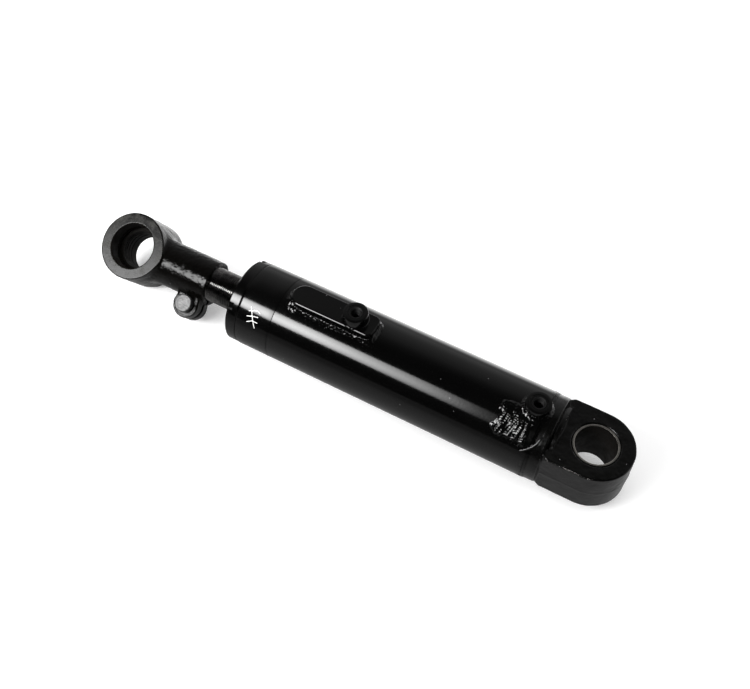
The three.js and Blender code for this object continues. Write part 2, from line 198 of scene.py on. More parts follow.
def about_z(x, y):
    """Turns a lathe's axis from X to Z and moves it to (x, y)."""
    def move(points):
        return np.stack([x - points[:, 2], y + points[:, 1], points[:, 0]], 1)
    return move


def tilted(points):
    """From the rod end's own frame (x, m across, n along the pin) to the row frame."""
    c, s = math.cos(TILT), math.sin(TILT)
    x, m, n = points[:, 0], points[:, 1], points[:, 2]
    return np.stack([x, m * c + n * s, n * c - m * s], 1)


def along_pin(x, m):
    """As about_z, in the rod end's own frame."""
    move = about_z(x, m)
    return lambda points: tilted(move(points))


def round_corners(profile, cuts):
    """Replaces listed corners of a closed profile by three-point arcs."""
    out = []
    count = len(profile)
    for i, point in enumerate(profile):
        cut = cuts.get(i, 0)
        if not cut:
            out.append(point)
            continue
        p = np.array(point, float)
        a = np.array(profile[i - 1], float) - p
        b = np.array(profile[(i + 1) % count], float) - p
        start = p + a / np.linalg.norm(a) * cut
        end = p + b / np.linalg.norm(b) * cut
        for t in (0, 0.25, 0.5, 0.75, 1):
            q = (1 - t) ** 2 * start + 2 * t * (1 - t) * p + t * t * end
            out.append(tuple(q))
    return out


def ring_quads(rows, cols, closed):
    """Quads between rows of points round an axis, the last row joined to the first if closed."""
    i, j = np.meshgrid(np.arange(rows if closed else rows - 1), np.arange(cols), indexing="ij")
    k, l = (i + 1) % rows, (j + 1) % cols
    return np.stack([i * cols + j, k * cols + j, k * cols + l, i * cols + l], -1).reshape(-1, 4)


def lathe(name, profile, segments, place=about_x, rounded=None):
    """Closed solid of revolution from [along, radius] pairs given once round."""
    outline = round_corners(profile, rounded) if rounded else profile
    ring = np.array(outline, float)
    angle = np.arange(segments) * 2 * math.pi / segments
    a = np.repeat(ring[:, 0], segments)
    r = np.repeat(ring[:, 1], segments)
    t = np.tile(angle, len(ring))
    points = np.stack([a, r * np.cos(t), r * np.sin(t)], 1)
    quads = ring_quads(len(ring), segments, True)
    return weld_doubles(to_mesh(name, place(points), quads), SHARP)


def cut(obj, cutters):
    """Subtracts closed meshes from a piece and keeps the result as its mesh."""
    for mesh in cutters:
        tool = add("cutter", mesh)
        step = obj.modifiers.new("cut", "BOOLEAN")
        step.object = tool
        step.operation = "DIFFERENCE"
        step.solver = "EXACT"
        graph = bpy.context.evaluated_depsgraph_get()
        done = bpy.data.meshes.new_from_object(obj.evaluated_get(graph))
        obj.modifiers.clear()
        obj.data = done
        bpy.data.objects.remove(tool)
    shade(obj.data, SHARP)


# ---------------------------------------------------------------- distance fields

def hash01(i, j, k, seed):
    """Repeatable number from 0 to 1 for each whole-numbered place."""
    n = (i * 374761393 + j * 668265263 + k * 1442695041 + seed * 974711) & 0xFFFFFFFF
    n = ((n ^ (n >> 13)) * 1274126177) & 0xFFFFFFFF
    n = n ^ (n >> 16)
    return (n & 0xFFFF).astype(np.float32) / 65535.0


def noise(x, y, z, scale, seed=1):
    """Smooth value noise from -1 to 1, one lump about every scale millimetres."""
    x, y, z = x / scale, y / scale, z / scale
    fx, fy, fz = np.floor(x), np.floor(y), np.floor(z)
    i, j, k = fx.astype(np.int64), fy.astype(np.int64), fz.astype(np.int64)
    u, v, w = x - fx, y - fy, z - fz
    u, v, w = (t * t * (3 - 2 * t) for t in (u, v, w))
    total = 0
    for a in (0, 1):
        for b in (0, 1):
            for c in (0, 1):
                weight = (u if a else 1 - u) * (v if b else 1 - v) * (w if c else 1 - w)
                total = total + weight * hash01(i + a, j + b, k + c, seed)
    return 2 * total - 1


def join(a, b, k):
    """a and b together, the corner between them filled by about k."""
    h = np.clip(0.5 + 0.5 * (b - a) / k, 0, 1)
    return b + (a - b) * h - k * h * (1 - h)


def carve(a, b, k):
    """a without b, the new edge rounded by about k."""
    return -join(-a, b, k)


def meet(a, b, k):
    """Where a and b overlap, the new edge rounded by about k."""
    return -join(-a, -b, k)


def eased(a, b, edge):
    """Where a and b overlap, the outer corner rounded to a true radius."""
    a, b = a + edge, b + edge
    return np.minimum(np.maximum(a, b), 0) + np.hypot(np.maximum(a, 0), np.maximum(b, 0)) - edge


def bar(across, along, radius, half, edge):
    """Cylinder: distance across from its axis, distance along from its middle."""
    return eased(across - radius, np.abs(along) - half, edge)


def slab(a, b, c, edge):
    """Rounded block from its three signed half-distances."""
    a, b, c = a + edge, b + edge, c + edge
    out = np.sqrt(np.maximum(a, 0) ** 2 + np.maximum(b, 0) ** 2 + np.maximum(c, 0) ** 2)
    return np.minimum(np.maximum(a, np.maximum(b, c)), 0) + out - edge


def gradient(field, p, h=0.05):
    """Slope of a field at each point, by differences over 2 h millimetres."""
    g = np.empty_like(p)
    for axis in range(3):
        up, down = p.copy(), p.copy()
        up[:, axis] += h
        down[:, axis] -= h
        g[:, axis] = (field(*up.T) - field(*down.T)) / (2 * h)
    return g


def sharpness(field, points, reach=1.2):
    """1 on outer edges and corners, 0 on flat, hollow or gently curved skin."""
    total = np.zeros(len(points))
    for way in np.eye(3):
        total += field(*(points + reach * way).T) + field(*(points - reach * way).T)
    return np.clip(total / (6 * reach) / 0.12, 0, 1)


def net(name, field, low, high, step, place=about_x, marks=None):
    """Closed mesh of the surface where a distance field is zero, with the field's own normals."""
    axes = [np.arange(a, b + step, step, dtype=np.float64) for a, b in zip(low, high)]
    shape = tuple(len(a) for a in axes)
    grid = np.meshgrid(*axes, indexing="ij")
    value = field(*[g.ravel() for g in grid]).reshape(shape)
    inside = value < 0
    cell_shape = tuple(n - 1 for n in shape)
    crossing = np.zeros(cell_shape, np.int32)
    total = np.zeros(cell_shape + (3,), np.float64)
    edges = []
    for axis in range(3):
        first = [slice(None)] * 3
        second = [slice(None)] * 3
        first[axis], second[axis] = slice(0, -1), slice(1, None)
        a, b = value[tuple(first)], value[tuple(second)]
        hit = (a < 0) != (b < 0)
        t = np.where(hit, a / np.where(hit, a - b, 1), 0)
        edges.append(hit)
        others = [o for o in range(3) if o != axis]
        for du in (0, 1):
            for dv in (0, 1):
                take = [slice(None)] * 3
                take[others[0]] = slice(du, shape[others[0]] - 1 + du)
                take[others[1]] = slice(dv, shape[others[1]] - 1 + dv)
                part, along = hit[tuple(take)], t[tuple(take)]
                crossing += part
                total[..., axis] += np.where(part, along, 0)
                total[..., others[0]] += part * du
                total[..., others[1]] += part * dv
    used = crossing > 0
    number = np.full(cell_shape, -1, np.int64)
    number[used] = np.arange(used.sum())
    index = np.argwhere(used)
    base = np.array([a[0] for a in axes])
    points = base + step * (index + total[used] / crossing[used][:, None])
    quads = []
    for axis in range(3):
        hit = edges[axis]
        others = [o for o in range(3) if o != axis]
        where = np.argwhere(hit)
        ok = np.all((where[:, others] > 0) & (where[:, others] < np.array(cell_shape)[others]), axis=1)
        where = where[ok]
        corner = []
        for du, dv in ((1, 1), (0, 1), (0, 0), (1, 0)):
            cell = where.copy()
            cell[:, others[0]] -= du
            cell[:, others[1]] -= dv
            corner.append(number[tuple(cell.T)])
        quad = np.stack(corner, 1)
        start_inside = inside[tuple(where.T)]
        flip = start_inside if axis == 1 else ~start_inside
        quad[flip] = quad[flip][:, ::-1]
        quads.append(quad)
    quads = np.concatenate(quads)
    for _ in range(2):
        g = gradient(field, points)
        d = field(*points.T)
        points = points - g * np.clip(d / np.maximum((g * g).sum(1), 0.2), -step / 2, step / 2)[:, None]
    normals = gradient(field, points, 0.25)
    normals /= np.maximum(np.linalg.norm(normals, axis=1), 1e-6)[:, None]
    extra = marks(points, normals) if marks else {}
    extra["edge"] = sharpness(field, points)
    moved = place(points)
    origin = place(np.zeros((1, 3)))
    turned = place(normals) - origin
    mesh = to_mesh(name, moved, quads)
    mesh.polygons.foreach_set("use_smooth", [True] * len(mesh.polygons))
    for key, numbers in extra.items():
        layer = mesh.attributes.new(key, "FLOAT", "POINT")
        layer.data.foreach_set("value", np.asarray(numbers, np.float32))
    mesh.normals_split_custom_set_from_vertices(turned)
    return mesh


# ---------------------------------------------------------------- materials

def node(tree, kind, inputs=None, **settings):
    """A shader node, its inputs set to values or joined to other nodes' outputs."""
    made = tree.nodes.new("ShaderNode" + kind)
    for key, value in settings.items():
        setattr(made, key, value)
    for key, value in (inputs or {}).items():
        if isinstance(value, bpy.types.NodeSocket):
            tree.links.new(value, made.inputs[key])
        else:
            made.inputs[key].default_value = value
    return made


def maths(tree, operation, *values):
    """Result of a Math node fed with numbers or other nodes' outputs."""
    made = node(tree, "Math", operation=operation)
    for socket, value in zip(made.inputs, values):
        if isinstance(value, bpy.types.NodeSocket):
            tree.links.new(value, socket)
        else:
            socket.default_value = value
    return made.outputs[0]


def spread(tree, value, low, high, to_low, to_high, smooth=False):
    """Maps low..high to to_low..to_high, clamped, straight or eased at both ends."""
    made = node(tree, "MapRange", {"Value": value, "From Min": low, "From Max": high, "To Min": to_low,
                                   "To Max": to_high})
    made.interpolation_type = "SMOOTHSTEP" if smooth else "LINEAR"
    return made.outputs["Result"]


def lumps(tree, place, size, detail=3.0, rough=0.55):
    """Noise with lumps of about size millimetres."""
    made = node(tree, "TexNoise", {"Vector": place, "Scale": 1000.0 / size, "Detail": detail,
                                   "Roughness": rough})
    return made.outputs["Fac"]


def stretched(tree, place, along):
    """Coordinates scaled per axis; a small factor draws a pattern out along that axis."""
    return node(tree, "Mapping", {"Vector": place, "Scale": along}).outputs["Vector"]


def blend(tree, factor, first, second):
    """Colour that goes from first to second as factor goes from 0 to 1."""
    made = node(tree, "MixRGB", {"Fac": factor})
    for key, value in (("Color1", first), ("Color2", second)):
        if isinstance(value, bpy.types.NodeSocket):
            tree.links.new(value, made.inputs[key])
        else:
            made.inputs[key].default_value = (*value, 1.0)
    return made.outputs["Color"]


class Finish:
    """A principled material under construction, with its object coordinates at hand."""

    def __init__(self, name):
        self.material = bpy.data.materials.new(name)
        self.material.use_nodes = True
        self.tree = self.material.node_tree
        self.shader = self.tree.nodes["Principled BSDF"]
        self.place = node(self.tree, "TexCoord").outputs["Object"]
        self.height = None

    def set(self, **values):
        """Sets or joins inputs of the shader, named with underscores for spaces."""
        for key, value in values.items():
            socket = self.shader.inputs[key.replace("_", " ")]
            if isinstance(value, bpy.types.NodeSocket):
                self.tree.links.new(value, socket)
            elif isinstance(value, tuple):
                socket.default_value = (*value, 1.0)
            else:
                socket.default_value = value
        return self

    def bump(self, height, depth):
        """Adds relief of the given depth in millimetres on top of what is there."""
        inputs = {"Height": height, "Distance": depth * MM, "Strength": 1.0}
        if self.height is not None:
            inputs["Normal"] = self.height
        self.height = node(self.tree, "Bump", inputs).outputs["Normal"]
        self.tree.links.new(self.height, self.shader.inputs["Normal"])
        return self

    def fed_by(self, key):
        """Output that feeds an input of the shader."""
        return self.shader.inputs[key].links[0].from_socket

    def mark(self, name):
        """Value of a mesh attribute at the shaded point."""
        return node(self.tree, "Attribute", attribute_name=name).outputs["Fac"]


def dust(tree, place, size, share):
    """Sparse small spots: 1 inside a spot, 0 elsewhere."""
    cells = node(tree, "TexVoronoi", {"Vector": place, "Scale": 1000.0 / size})
    spot = spread(tree, cells.outputs["Distance"], 0.10, 0.20, 1.0, 0.0)
    chosen = node(tree, "SeparateColor", {"Color": cells.outputs["Color"]}).outputs["Red"]
    return maths(tree, "MULTIPLY", spot, maths(tree, "LESS_THAN", chosen, share))


PRIMER = (0.20, 0.19, 0.18)


def painted(name, black, rough, peel, grain=None, chips=0.0, streak=(0.3, 1.0, 1.0), smooth=None):
    """Sprayed black enamel: orange peel, uneven gloss, dust and worn or chipped edges.

    grain is (lump size, depth) in millimetres, and is left off where the mesh attribute named by
    smooth is 1. chips is how sharp an edge has to be before it shows primer, 0 for no chips.
    """
    f = Finish(name)
    t, p = f.tree, f.place
    cloud = lumps(t, stretched(t, p, streak), 60, 4)
    fine = lumps(t, p, 5, 3)
    colour = blend(t, spread(t, cloud, 0.35, 0.65, 0, 1), tuple(0.7 * c for c in black), black)
    gloss = spread(t, cloud, 0.3, 0.7, rough * 0.85, rough * 1.2)
    gloss = maths(t, "ADD", gloss, spread(t, fine, 0.4, 0.7, 0, rough * 0.25))
    specks = dust(t, p, 4.0, 0.02)
    colour = blend(t, specks, colour, (0.08, 0.08, 0.08))
    if chips:
        bite = maths(t, "MULTIPLY_ADD", lumps(t, p, 1.8, 4, 0.65), 0.8, f.mark("edge"))
        bite = maths(t, "MULTIPLY_ADD", lumps(t, p, 34, 1), 0.8, bite)
        worn = spread(t, bite, chips, chips + 0.03, 0, 1)
        colour = blend(t, worn, colour, PRIMER)
        gloss = maths(t, "ADD", gloss, maths(t, "MULTIPLY", worn, 0.25))
        f.bump(maths(t, "SUBTRACT", 1.0, worn), 0.06)
    f.set(Base_Color=colour, Roughness=gloss)
    f.bump(lumps(t, p, 2.4, 2), peel)
    if grain:
        relief = lumps(t, p, grain[0], 4, 0.6)
        if smooth:
            relief = maths(t, "MULTIPLY", relief, maths(t, "SUBTRACT", 1.0, f.mark(smooth)))
        f.bump(relief, grain[1])
    f.bump(specks, 0.02)
    return f


ABOUT_X = (1.0, 0.02, 0.02)
ABOUT_Z = (0.02, 0.02, 1.0)


def machined(name, colour, rough, along, line=0.5, depth=0.006, darkest=0.75):
    """Turned metal with fine tool lines around an axis, and faint stains."""
    f = Finish(name)
    t, p = f.tree, f.place
    lines = lumps(t, stretched(t, p, along), line, 2)
    cloud = lumps(t, p, 9, 4, 0.6)
    shade = blend(t, spread(t, cloud, 0.3, 0.7, 0, 1), tuple(darkest * c for c in colour), colour)
    f.set(Base_Color=shade, Metallic=1.0,
          Roughness=maths(t, "ADD", spread(t, cloud, 0.3, 0.7, rough * 0.8, rough * 1.25),
                          spread(t, lines, 0.3, 0.7, -0.04, 0.04)))
    f.bump(lines, depth)
    return f


def plain(name, colour, rough, metal=0.0):
    """Slightly uneven colour and gloss, with a fine grain."""
    f = Finish(name)
    t, p = f.tree, f.place
    cloud = lumps(t, p, 8, 4)
    shade = blend(t, spread(t, cloud, 0.3, 0.7, 0, 1), tuple(0.7 * c for c in colour), colour)
    f.set(Base_Color=shade, Metallic=metal, Roughness=spread(t, cloud, 0.3, 0.7, rough * 0.8, rough * 1.2))
    f.bump(lumps(t, p, 1.2, 3), 0.01)
    return f


def streaked(name, colour, rough):
    """Dull zinc with short scratches and dark stains."""
    f = Finish(name)
    t, p = f.tree, f.place
    lines = lumps(t, stretched(t, p, (0.3, 1.0, 0.25)), 1.3, 4, 0.7)
    stains = lumps(t, p, 3.5, 4, 0.65)
    shade = blend(t, spread(t, lines, 0.38, 0.62, 0, 1), tuple(0.25 * c for c in colour), colour)
    shade = blend(t, spread(t, stains, 0.50, 0.66, 0, 0.7), shade, tuple(0.3 * c for c in colour))
    f.set(Base_Color=shade, Metallic=0.85, Roughness=spread(t, lines, 0.35, 0.65, rough * 0.8, rough * 1.25))
    f.bump(lines, 0.03)
    return f


GLOSS = painted("black_enamel", (0.0012, 0.0012, 0.0012), 0.09, peel=0.020, grain=(0.9, 0.004))
FORGED = painted("black_forging", (0.0013, 0.0013, 0.0012), 0.18, peel=0.010, grain=(1.6, 0.030),
                 chips=1.93, streak=(1, 1, 1))
CAST = painted("black_casting", (0.0020, 0.0018, 0.0016), 0.14, peel=0.012, grain=(1.1, 0.115),
               chips=2.0, streak=(1, 1, 1), smooth="face")
CAST.set(Specular_IOR_Level=0.22)
BEAD = painted("black_weld", (0.0012, 0.0012, 0.0012), 0.08, peel=0.010, grain=(1.1, 0.040),
               streak=(1, 1, 1))
# Near-black dull finish: painted shade for the inside of the port holes.
SHADED_HOLE = plain("hole_painted_shade", (0.004, 0.004, 0.004), 0.6).set(Specular_IOR_Level=0.25)
# Near-black dull finish: painted shade for the insides of the bores and bushes.
SHADED_BORE = plain("bore_painted_shade", (0.006, 0.005, 0.004), 0.62).set(Specular_IOR_Level=0.10)
STEEL_Z = machined("turned_steel", (0.66, 0.63, 0.58), 0.28, ABOUT_Z)
CHROME = machined("chrome_rod", (0.50, 0.50, 0.51), 0.10, ABOUT_X, line=0.4, depth=0.002, darkest=0.9)
STREAKED = streaked("streaked_steel", (0.17, 0.17, 0.17), 0.42)
BRONZE = plain("bronze", (0.50, 0.30, 0.13), 0.35, metal=1.0)
IRON = plain("iron", (0.10, 0.10, 0.10), 0.45, metal=1.0)
RUBBER = plain("rubber", (0.012, 0.012, 0.012), 0.55)
URETHANE = plain("polyurethane", (0.02, 0.02, 0.022), 0.38)
NYLON = plain("nylon", (0.55, 0.52, 0.44), 0.45)
NUT_STEEL = plain("nut_steel", (0.30, 0.29, 0.28), 0.38, metal=1.0)


def eye_finish():
    """Rough black casting, with the machined eye face left grey and smeared with grease."""
    f = CAST
    t, p = f.tree, f.place
    paint, rough = f.fed_by("Base Color"), f.fed_by("Roughness")
    face, grease = f.mark("face"), f.mark("grease")
    smear = lumps(t, p, 14, 5, 0.65)
    grey = blend(t, spread(t, smear, 0.46, 0.66, 0, 1), (0.003, 0.0029, 0.0027), (0.014, 0.0135, 0.010))
    scuffs = lumps(t, stretched(t, p, (1.0, 0.12, 0.3)), 1.1, 3, 0.7)
    grey = blend(t, spread(t, scuffs, 0.60, 0.72, 0, 0.7), grey, (0.036, 0.035, 0.030))
    rust = blend(t, spread(t, lumps(t, p, 6, 4), 0.4, 0.7, 0, 1),
                 (0.0015, 0.0013, 0.0011), (0.006, 0.0048, 0.0032))
    colour = blend(t, face, blend(t, grease, paint, rust), grey)
    f.set(Base_Color=colour)
    f.set(Roughness=maths(t, "ADD", maths(t, "MULTIPLY", rough, maths(t, "SUBTRACT", 1.0, face)),
                          maths(t, "MULTIPLY", face, spread(t, smear, 0.44, 0.68, 0.13, 0.30))))


eye_finish()


def thread_finish():
    """The rod's chrome gives way to dark oily steel where the thread is cut."""
    f = CHROME
    t, p = f.tree, f.place
    x = node(t, "SeparateXYZ", {"Vector": p}).outputs["X"]
    start = (THREAD_START + 2.5) * MM
    cut_here = spread(t, x, start, start + 2 * MM, 0, 1)
    bright, gloss = f.fed_by("Base Color"), f.fed_by("Roughness")
    oil = blend(t, spread(t, lumps(t, p, 5, 4), 0.35, 0.65, 0, 1), (0.10, 0.10, 0.10), (0.22, 0.215, 0.21))
    f.set(Base_Color=blend(t, cut_here, bright, oil))
    f.set(Roughness=maths(t, "MULTIPLY_ADD", cut_here, 0.06, gloss))


thread_finish()


def ink_finish():
    """Enamel with meaningless hatched strokes in white paint pen."""
    f = painted("marked_enamel", (0.0015, 0.0015, 0.0015), 0.085, peel=0.008)
    t, p = f.tree, f.place
    ragged = maths(t, "MULTIPLY_ADD", lumps(t, p, 1.2, 3), 0.5, f.mark("ink"))
    ink = spread(t, ragged, 0.60, 0.78, 1.0, 0.0)
    paint, gloss = f.fed_by("Base Color"), f.fed_by("Roughness")
    f.set(Base_Color=blend(t, ink, paint, (0.80, 0.80, 0.78)))
    f.set(Roughness=maths(t, "MULTIPLY_ADD", ink, 0.35, gloss))
    return f


MARKED = ink_finish()


def cad(node_name, finish):
    """Gives a CAD node that stays in view its own finish."""
    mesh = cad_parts[node_name].data
    mesh.materials.clear()
    mesh.materials.append(finish.material)


for inner, finish in (("gland_o_ring", RUBBER), ("gland_backup_ring", URETHANE), ("rod_guide_bush", BRONZE),
                      ("rod_buffer_seal", URETHANE), ("rod_seal", RUBBER), ("piston_seal", RUBBER),
                      ("piston_wear_ring_front", NYLON), ("piston_wear_ring_rear", NYLON), ("piston", IRON),
                      ("piston_o_ring", RUBBER), ("piston_nut", NUT_STEEL)):
    cad(inner, finish)


# ---------------------------------------------------------------- barrel

def box_mesh(low, high, turn):
    """Box between two corners, turned about the X axis."""
    work = bmesh.new()
    bmesh.ops.create_cube(work, size=1)
    size = np.array(high, float) - np.array(low, float)
    middle = (np.array(high, float) + np.array(low, float)) / 2
    for v in work.verts:
        v.co = [MM * (middle[i] + v.co[i] * size[i]) for i in range(3)]
    bmesh.ops.transform(work, matrix=Matrix.Rotation(turn, 4, "X"), verts=work.verts)
    mesh = bpy.data.meshes.new("box")
    work.to_mesh(mesh)
    work.free()
    return mesh


def drill(x, low, high, radius):
    """Cutter along Z at x, from one height to another."""
    return lathe("drill", [[low, 0], [low, radius], [high, radius], [high, 0]], 48, about_z(x, 0))


def make_tube():
    stops = [TUBE_START, 57, 68, 150, 230, 302, 314, TUBE_END - 0.5]
    profile = [[x, BORE_R] for x in [TUBE_END, *reversed(stops)]] + [[x, TUBE_R] for x in stops]
    profile.append([TUBE_END, TUBE_R - 0.5])
    mesh = lathe("tube", profile, 256)
    tube = piece("tube", mesh, "barrel", ["barrel_tube"], GLOSS)
    cut(tube, [drill(x, 20, 60, FEED_R) for x in (BASE_PORT_X, FEED_X)])


# Pen strokes on the collar, each a run of (x mm, degrees round the collar).
SCRIBBLE = (((350.5, 49.0), (354.0, 51.0), (362.5, 46.5)), ((351.0, 43.0), (357.0, 41.5), (363.0, 39.0)),
            ((350.0, 35.5), (356.0, 35.5), (361.5, 31.5)), ((361.5, 52.5), (357.5, 42.0), (352.0, 27.0)))


def stroke_distance(x, arc, stroke):
    """Distance in millimetres, over the unrolled tube, to a run of (x mm, degrees) points."""
    best = np.full_like(x, 99.0)
    spots = [(a, math.radians(b) * TUBE_R) for a, b in stroke]
    for (x0, a0), (x1, a1) in zip(spots, spots[1:]):
        dx, da = x1 - x0, a1 - a0
        u = np.clip(((x - x0) * dx + (arc - a0) * da) / (dx * dx + da * da), 0, 1)
        best = np.minimum(best, np.hypot(x - x0 - u * dx, arc - a0 - u * da))
    return best


def make_collar():
    start = TUBE_END + 0.04
    fine = [[x, TUBE_R] for x in np.arange(366.0, 346.0, -0.5)]
    profile = [[start, TUBE_R], [start, COLLAR_BORE_R], [COLLAR_END, COLLAR_BORE_R],
               [COLLAR_END, TUBE_R], *fine]
    mesh = lathe("collar", profile, 512, rounded={0: 0.28, 3: 0.9})
    co = np.zeros(3 * len(mesh.vertices), np.float32)
    mesh.vertices.foreach_get("co", co)
    x, y, z = co.reshape(-1, 3).T / MM
    arc = np.arctan2(z, y) * TUBE_R
    layer = mesh.attributes.new("ink", "FLOAT", "POINT")
    layer.data.foreach_set("value", np.minimum.reduce([stroke_distance(x, arc, s) for s in SCRIBBLE]))
    piece("collar", mesh, "barrel", ["gland_collar"], MARKED)


def make_gland():
    """Gland: flange with spanner notches, seats for bush and seals inside, ring groove on its pilot."""
    bore, pilot, thread = ROD_R + 0.3, BORE_R - 0.3, GLAND_THREAD_R
    seats = []
    for x0, x1, r in SEATS:
        seats += [[x0, bore], [x0, r], [x1, r], [x1, bore]]
    seat, seat_r = WIPER_SEAT
    groove, groove_end, groove_r = RING_GROOVE
    profile = [[318, bore + 1], [319, bore], *seats, [seat, bore], [seat, seat_r],
               [GLAND_END - 0.4, seat_r], [GLAND_END, seat_r + 0.4], [GLAND_END, 33.0],
               [GLAND_END - 0.5, 33.5], [GLAND_END - 0.5, 36.5], [GLAND_END, 37.0],
               [GLAND_END, FLANGE_R - 1.2], [GLAND_END - 1.2, FLANGE_R], [FLANGE_START + 0.8, FLANGE_R],
               [FLANGE_START, FLANGE_R - 0.8], [FLANGE_START, thread], [GLAND_THREAD_START, thread],
               [GLAND_THREAD_START, pilot], [groove_end, pilot], [groove_end, groove_r],
               [groove, groove_r], [groove, pilot], [320, pilot], [318, pilot - 2]]
    mesh = lathe("gland_head", profile, 256)
    gland = piece("gland_head", mesh, "barrel", ["gland"], GLOSS)
    low, high = [GLAND_END - 6, -4, FLANGE_R - 3.2], [GLAND_END + 3, 4, FLANGE_R + 3]
    cut(gland, [box_mesh(low, high, math.radians(90 * i - 48)) for i in range(4)])


def make_wiper():
    r = ROD_R + 0.3
    profile = [[377.3, r + 0.8], [387.1, r + 0.8], [388.9, r], [389.3, r + 0.7], [388.6, r + 1.6],
               [386.3, r + 3.6], [386.3, 24.3], [377.3, 24.3]]
    mesh = lathe("wiper", profile, 160, rounded={3: 0.2, 4: 0.4})
    piece("wiper", mesh, "barrel", ["rod_wiper"], URETHANE)


def boss_profile(low, high, thread_to):
    """Turned port boss: chamfered rim, spotface, countersink and thread grooves down the hole."""
    rings = [[high - 1.4, PORT_R]]
    x = high - 2.0
    while x > thread_to:
        rings += [[x, PORT_R], [x - 0.55, PORT_R + 0.55], [x - 1.1, PORT_R]]
        x -= 1.15
    rim = [[low, BOSS_R], [high - 0.6, BOSS_R], [high - 0.2, BOSS_R - 0.2], [high, BOSS_R - 0.7]]
    spotface = [[high, 9.2], [high - 0.35, 8.9], [high - 0.35, MOUTH_R + 0.5], [high - 1.4, PORT_R + 0.3]]
    return rim + spotface + rings + [[low, PORT_R]]


def make_boss(name, stands_for, x, profile, cutters):
    """Port boss along Z at x, the inside of its hole dark with painted shade."""
    boss = piece(name, lathe(name, profile, 96, about_z(x, 0)), "barrel", [stands_for], GLOSS)
    cut(boss, cutters)
    # Painted shade inside the hole and its countersink.
    second(boss, SHADED_HOLE, lambda c: math.hypot(c[0] - x, c[1]) < MOUTH_R + 0.1)


def make_bosses():
    saddle = lathe("saddle", [[20, 0], [20, TUBE_R + 0.3], [120, TUBE_R + 0.3], [120, 0]], 256)
    make_boss("base_boss", "base_port_boss", BASE_PORT_X, boss_profile(36, BASE_BOSS_HIGH[2], 40), [saddle])
    low, high = ROD_BOSS_LOW[2], ROD_BOSS_HIGH[2]
    make_boss("rod_boss", "rod_port_boss", ROD_PORT_X, boss_profile(low, high, low + 1), [])


def off_tube(y, z):
    """Height above the skin of the tube."""
    return np.hypot(y, z) - TUBE_R


def block_plan(x, y):
    """Distance to the outline of the port block: full round one end, eased corners the other."""
    x0, x1, half, corner = BLOCK_LOW[0], BLOCK_HIGH[0], BLOCK_HALF, 6
    round_x = x1 - half
    far = np.where(x > round_x, np.hypot(x - round_x, y) - half, np.abs(y) - half)
    return np.maximum(far, eased(np.abs(y) - half, x0 - x, corner))


def block_field(x, y, z):
    """Port block seated on the tube, its top edge bevelled, with its three oil holes."""
    plan = block_plan(x, y)
    top = z - BLOCK_TOP
    body = eased(plan, top, 0.8)
    body = np.maximum(body, 0.60 * plan + 0.80 * top + 0.58)
    body = np.maximum(body, -(off_tube(y, z) - 0.3))
    hole = np.maximum(np.hypot(x - ROD_PORT_X, y) - PORT_R, 46.2 - z)
    feed = np.maximum(np.hypot(x - FEED_X, y) - FEED_R, z - GALLERY_Z)
    gallery = np.maximum(np.hypot(y, z - GALLERY_Z) - 2.7, np.maximum(ROD_PORT_X - x, x - FEED_X))
    return np.maximum(body, -np.minimum(np.minimum(hole, feed), gallery))


def ripple(x, y, z, along, pitch, seed):
    """Uneven overlapping scales of a hand-laid weld, -1 to 1, along a run of weld."""
    drift = noise(x, y, z, 9, seed) * 1.1
    wave = np.sin(2 * math.pi * (along / pitch + drift))
    return 0.55 * wave + 0.45 * noise(x, y, z, 2.6, seed + 1)


def block_weld_field(x, y, z):
    """Wide lumpy fillet in the corner between block and tube, heavier round the ends."""
    plan = block_plan(x, y)
    off = off_tube(y, z)
    ends = np.clip((x - 314) / 12, 0, 1) + 0.5 * np.clip((240 - x) / 6, 0, 1)
    leg = 3.2 + 3.0 * ends + 0.7 * noise(x, y, z, 11, 31) + 0.3 * ripple(x, y, z, x + 0.8 * y, 4.6, 33)
    leg = leg + 0.50 * noise(x, y, z, 3.0, 35) + 0.22 * noise(x, y, z, 1.4, 38)
    bead = (plan + off - leg) * 0.7
    spatter = noise(x, y, z, 2.6, 40) + 0.5 * noise(x, y, z, 1.2, 41)
    film = (off - 0.28 * np.clip(spatter, 0, 1) * np.clip(6.8 - plan, 0, 1)) * 0.8
    bead = join(bead, np.maximum(film, plan - 8), 0.4)
    bead = np.maximum(bead, 0.05 - plan)
    bead = np.maximum(bead, 0.02 - off)
    return np.maximum(bead, z - 51.3 - 1.2 * ends)


def boss_weld_field(x, y, z):
    """Small fillet at the foot of the rod-side boss, on top of the block."""
    out = np.hypot(x - ROD_PORT_X, y) - BOSS_R
    up = z - (BLOCK_TOP + 0.3)
    around = np.arctan2(y, x - ROD_PORT_X) * BOSS_R
    leg = 1.7 + 0.16 * ripple(x, y, z, around, 4.2, 51)
    bead = (out + up - leg) * 0.7
    return np.maximum(np.maximum(bead, 0.3 - out), 0.0 - up)


# Course of the one raised run of the closing weld, as (x mm, degrees).
ARC = ((60.5, 30.5), (55.5, 35.5), (51.0, 42.0), (48.5, 48.0), (47.2, 54.0))


def cap_weld_field(x, y, z):
    """Closing weld dressed nearly flush with the tube, with one raised run at its near side."""
    r = np.hypot(y, z)
    angle = np.arctan2(z, y)
    wave = 0.03 * ripple(x, y, z, angle * TUBE_R, 4.6, 61) + 0.05 * noise(x, y, z, 13, 64)
    crown = 44.60 + wave - np.where(x < 55, 0.027 * (x - 55) ** 2, 0.012 * (x - 55) ** 2)
    ring = r - crown
    inner = np.where(x < 53.6, HEAD_R + 0.02, TUBE_R + 0.02)
    ring = np.maximum(ring, np.abs(x - 54) - 4.5)
    run = stroke_distance(x, angle * TUBE_R, ARC)
    ring = join(ring, np.hypot(run, r - 44.2) - 1.15, 0.3)
    ring = np.maximum(ring, inner - r)
    return ring


